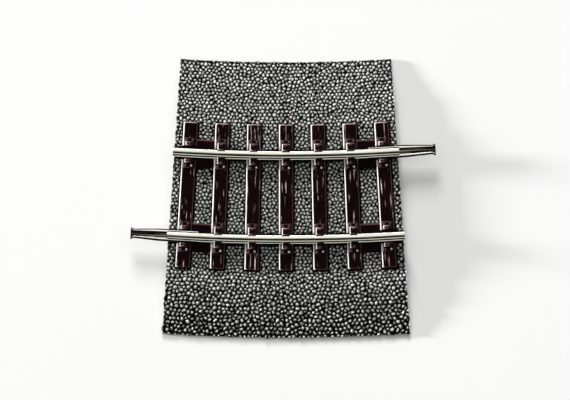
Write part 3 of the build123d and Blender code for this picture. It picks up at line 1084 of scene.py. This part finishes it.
def makeRail(radius, name):
    r = rail
    rounds = r["rounds"]
    height, footHalf, webHalf = r["height"], track["footHalf"], r["webHalf"]
    slope = (r["footRoot"] - r["footEdge"]) / (footHalf - webHalf)
    corners = [(0, 0, 0, r["underShine"]), (footHalf, 0, rounds["footEdge"], r["underShine"])]
    corners += [(x, r["footEdge"] + (footHalf - x) * slope, 0, shine) for x, shine in r["footShine"]]
    corners += [
        (webHalf, r["footRoot"], rounds["root"], r["webShine"][0]),
        (webHalf, height - r["headSide"] - r["headTaper"], rounds["underHead"], r["webShine"][1]),
        (r["headHalf"], height - r["headSide"], rounds["headSide"], r["headShine"][0]),
        (r["headHalf"], height, rounds["headTop"], r["headShine"][1]),
        (r["clipReflectionWidth"], height, 0, r["headShine"][1]),
        (0, height, 0, r["headShine"][1]),
    ]
    section, tones = mirroredSection(corners, 4)
    for n, (x, z) in enumerate(section):
        # painted shade on the far half of the foot
        if x < -r["farFrom"] and 0 < z < height / 2:
            tones[n] = r["farShade"]
        # painted shade on the head's near corner
        if x > r["nearFrom"] and z > height - r["cornerDepth"]:
            tones[n] = r["nearCornerShade"]
    # beside each clip, the head's far edge gets a painted dark reflection of the clip
    clipReflected = [r["clipReflection"] if x < -r["clipReflectionWidth"] and z > height - r["cornerDepth"] else tone
             for tone, (x, z) in zip(tones, section)]
    length = 2 * halfTurn * radius
    breaks = [r["footLead"], length - r["footLead"]]
    for turn in sleeperTurns[1:-1]:
        for away in (r["clipReach"], r["clipReach"] - r["clipBlend"]):
            breaks += [(halfTurn + turn) * radius - away, (halfTurn + turn) * radius + away]
    stations = [0.0, r["endRound"]] + stepsBetween(sorted(breaks), r["step"])
    stations += [length - r["endRound"], length]
    loops = []
    shines = []
    for station in stations:
        turn = station / radius - halfTurn
        fromClip = min(abs(turn - clipTurn) for clipTurn in sleeperTurns[1:-1]) * radius
        shines.append(clipReflected if fromClip < r["clipReach"] - r["clipBlend"] / 2 else tones)
        fromEnd = min(station, length - station)
        limit = footHalf - max(0.0, r["footLead"] - fromEnd)
        shrink = r["endShrink"] if fromEnd < tiny else 0.0
        loop = []
        for x, z in section:
            x = max(-limit, min(limit, x * (1 - shrink)))
            z = min(max(z, shrink), height - shrink)
            loop.append(arcPoint(radius + x, turn, track["seat"] + z))
        loops.append(loop)
    bm = bmesh.new()
    skinWithUv(bm, loops, stations, shines)
    return finishMesh(bm, name, sharpAngle=30)


def makeMetal(name, metal):
    # bright where a part is rubbed, yellower where it is tarnished, and nearly black where shade and dark
    # reflections are painted in its corners and on its shaded sides
    roughness = metal["roughness"]
    material, tree, shader = newMaterial(name, roughness, metallic=1.0)
    drawn = placeGroup(tree, drawnLines, {"Along": 0.06, "Across": 5.0})
    shine = attributeNode(tree, "shine")
    uneven = rangeNode(tree, drawn["Lines"], 0, 1, -0.35, 0.35)
    uneven = mathNode(tree, "MULTIPLY", uneven, rangeNode(tree, shine, 1.0, 0.6))
    level = mathNode(tree, "ADD", shine, uneven)
    dull = mixNode(tree, drawn["Tarnish"], *metal["worn"])
    # low shine paints the metal nearly black: painted shade and dark reflections
    colour = mixNode(tree, rangeNode(tree, level, 0.05, 0.55), (0.002, 0.002, 0.0015), dull)
    tarnish = mathNode(tree, "MULTIPLY", drawn["Tarnish"], 0.6)
    rubbed = mixNode(tree, tarnish, metal["bright"], metal["worn"][1])
    colour = mixNode(tree, rangeNode(tree, level, 0.6, 0.95), colour, rubbed)
    feed(tree, shader["Base Color"], colour)
    feed(tree, shader["Roughness"], rangeNode(tree, drawn["Scuffs"], 0, 1, roughness, roughness + 0.16))
    addBump(tree, shader, drawn["Lines"], 0.3, 0.00001)
    return material


railMetal = makeMetal("railMetal", rail["metal"])
for side, radius in railRadii.items():
    name = side + "Rail"
    addPiece(name, makeRail(radius, name), side + "_rail", "track", railMetal)


# Joiners: sheet folded round the rail's foot, with a free half that narrows and a flared mouth
joiner = {
    "sheet": 0.2,
    "length": 13.6,
    "seat": 6.2,
    "straight": 1.6,
    "innerHalf": 1.06,
    "slot": 0.64,
    "freeHalf": 0.74,
    "freeSlot": 0.55,
    "flareLength": 0.7,
    "flareSteps": (0.2, 0.4, 0.6, 0.8, 1.0),
    "flare": 0.3,
    "bend": 0.1,
    "lipRound": 0.06,
    "gap": 0.06,
    "footSlope": 0.3125,
    "step": 0.35,
    # shine: 1 is bright, 0 and less is black, which paints shade inside the channel and beside a rail's web,
    # and dark reflections on the upper fold and in the mouth
    "lipMiddle": (0.3, 0.16),  # from a lip's edge to where it is brightest, on the rail and past it
    "flareLoss": 0.9,  # how much of its shine a lip loses in the mouth, as a painted dark reflection
    "lipEdge": (-0.8, 0.8),  # painted shade beside a rail's web, and the bare edge past the rail
    "under": 0.6,
    "lowerBend": 0.35,
    # painted dark reflection on the upper fold
    "upperBend": -0.4,
    # painted shade inside the channel and on its floor
    "inside": -0.3,
    "floor": 0.06,
    "metal": {
        "bright": (0.9, 0.89, 0.84),
        "worn": ((0.5, 0.49, 0.42), (0.72, 0.7, 0.58)),
        "roughness": 0.3,
    },
}


def joinerSection(innerHalf, slotHalf, seated, flared):
    # outline of the folded sheet and its shine, with painted shade and dark reflections in it
    j = joiner
    sheet, gap, bend = j["sheet"], j["gap"], j["bend"]
    lipLow = rail["footEdge"] + max(0.0, track["footHalf"] - innerHalf) * j["footSlope"] + gap
    lipHigh = rail["footEdge"] + max(0.0, track["footHalf"] - slotHalf) * j["footSlope"] + gap
    outer = innerHalf + sheet
    lipRise = (lipHigh - lipLow) / (outer - slotHalf)
    brightest = slotHalf + j["lipMiddle"][0 if seated else 1]
    shoulder = (brightest + outer - bend - sheet) / 2
    lip = 1 - j["flareLoss"] * flared
    edge = j["lipEdge"][0] if seated else j["lipEdge"][1] * lip

    def lipTop(x):
        return lipHigh + sheet - (x - slotHalf) * lipRise

    corners = [
        (0, -gap - sheet, 0, j["under"]),
        (outer, -gap - sheet, bend + sheet, j["lowerBend"]),
        (outer, lipLow + sheet, bend + sheet, j["upperBend"]),
        (shoulder, lipTop(shoulder), 0, lip),
        (brightest, lipTop(brightest), 0, lip),
        (slotHalf, lipTop(slotHalf), j["lipRound"], edge),
        (slotHalf, lipHigh, j["lipRound"], j["inside"]),
        (innerHalf, lipLow, bend, j["inside"]),
        (innerHalf, -gap, bend, j["inside"]),
        (0, -gap, 0, j["floor"]),
    ]
    return mirroredSection(corners, 5)


def makeJoiner(radius, end, name):
    j = joiner
    turn = end * (halfTurn - j["seat"] / 2 / radius)
    outward = Vector((end * math.cos(turn), end * math.sin(turn), 0))
    across = Vector((-outward.y, outward.x, 0))
    origin = arcPoint(radius, turn, track["seat"])
    start = -j["seat"] / 2
    pinchStart = j["seat"] / 2 + j["straight"]
    flareStart = start + j["length"] - j["flareLength"]
    stations = stepsBetween([start, pinchStart, flareStart], j["step"])
    stations += [flareStart + j["flareLength"] * share for share in j["flareSteps"]]
    loops = []
    shines = []
    for s in stations:
        pinch = min(1.0, max(0.0, (s - pinchStart) / (flareStart - pinchStart)))
        flared = min(1.0, max(0.0, (s - flareStart) / j["flareLength"]))
        innerHalf = j["innerHalf"] + (j["freeHalf"] - j["innerHalf"]) * pinch + j["flare"] * flared
        slotHalf = j["slot"] + (j["freeSlot"] - j["slot"]) * pinch + j["flare"] * flared
        section, tones = joinerSection(innerHalf, slotHalf, s < j["seat"] / 2, flared)
        loops.append([origin + outward * s + across * x + Vector((0, 0, z)) for x, z in section])
        shines.append(tones)
    bm = bmesh.new()
    skinWithUv(bm, loops, [s - start for s in stations], shines)
    return finishMesh(bm, name, sharpAngle=35)


joinerMetal = makeMetal("joinerMetal", joiner["metal"])
for side, end in (("outer", -1), ("inner", 1)):
    name = side + "Joiner"
    mesh = makeJoiner(railRadii[side], end, name)
    addPiece(name, mesh, side + "_joiner", side + "_joiner", joinerMetal)


# Floor, lights and camera
studio = {
    "floorHalf": 3,  # metres
    "floorColour": (0.95, 0.95, 0.945),
    "floorLift": 0.04,  # added to the floor where it is seen as the background
    "worldLevel": 0.08,
    "worldSeen": 0.34,  # where metal shows it
    # direction towards each lamp, its size and distance in metres, and the level that it gives a flat white
    # surface; a panel as large as the first gives less than its level
    "lamps": {
        "skyPanel": {"towards": (0.0, 0.3, 1.0), "size": (8.0, 8.0), "distance": 4.0, "level": 0.69},
        "backLamp": {"towards": (-0.12, 0.86, 0.5), "size": (1.3, 1.3), "distance": 4.0, "level": 0.35},
        "leftLamp": {"towards": (-1.0, 0.12, 0.17), "size": (0.6, 0.4), "distance": 4.0, "level": 0.25},
    },
}
camera = {
    "elevation": 79.5,
    "distance": 2.4,
    "lens": 750.0,
    "aim": (-0.2, -0.36, 2.0),  # millimetres
}


def addFloor():
    half = studio["floorHalf"]
    corners = [(-half, -half, 0), (half, -half, 0), (half, half, 0), (-half, half, 0)]
    mesh = bpy.data.meshes.new("floor")
    mesh.from_pydata(corners, [], [(0, 1, 2, 3)])
    floor = bpy.data.objects.new("floor", mesh)
    scene.collection.objects.link(floor)
    material, tree, shader = newMaterial("floorPaper", 0.9)
    feed(tree, shader["Base Color"], studio["floorColour"])
    feed(tree, shader["Emission Color"], (1, 1, 1))
    feed(tree, shader["Emission Strength"], mathNode(tree, "MULTIPLY", seenRays(tree), studio["floorLift"]))
    mesh.materials.append(material)


def addWorld():
    world = bpy.data.worlds.new("studio")
    scene.world = world
    world.use_nodes = True
    tree = world.node_tree
    background = tree.nodes["Background"].inputs
    feed(tree, background["Color"], (1, 1, 1))
    level = rangeNode(tree, seenRays(tree), 0, 1, studio["worldLevel"], studio["worldSeen"])
    feed(tree, background["Strength"], level)


def addLamp(name, lamp):
    towards = Vector(lamp["towards"]).normalized()
    data = bpy.data.lights.new(name, "AREA")
    data.shape = "RECTANGLE"
    data.size, data.size_y = lamp["size"]
    data.energy = lamp["level"] * math.pi ** 2 * lamp["distance"] ** 2 / towards.z
    obj = bpy.data.objects.new(name, data)
    scene.collection.objects.link(obj)
    obj.location = towards * lamp["distance"]
    obj.rotation_euler = towards.to_track_quat("Z", "Y").to_euler()


def addCamera():
    data = bpy.data.cameras.new("camera")
    data.lens = camera["lens"]
    data.sensor_width = 36
    data.clip_start = 0.01
    obj = bpy.data.objects.new("camera", data)
    scene.collection.objects.link(obj)
    tilt = math.radians(camera["elevation"])
    aim = Vector(camera["aim"]) * mm
    obj.location = aim + camera["distance"] * Vector((0, -math.cos(tilt), math.sin(tilt)))
    obj.rotation_euler = (math.radians(90) - tilt, 0, 0)
    scene.camera = obj


addFloor()
addWorld()
for name, lamp in studio["lamps"].items():
    addLamp(name, lamp)
addCamera()
scene.view_settings.view_transform = "Standard"
print("floor, world,", len(studio["lamps"]), "lamps and camera")
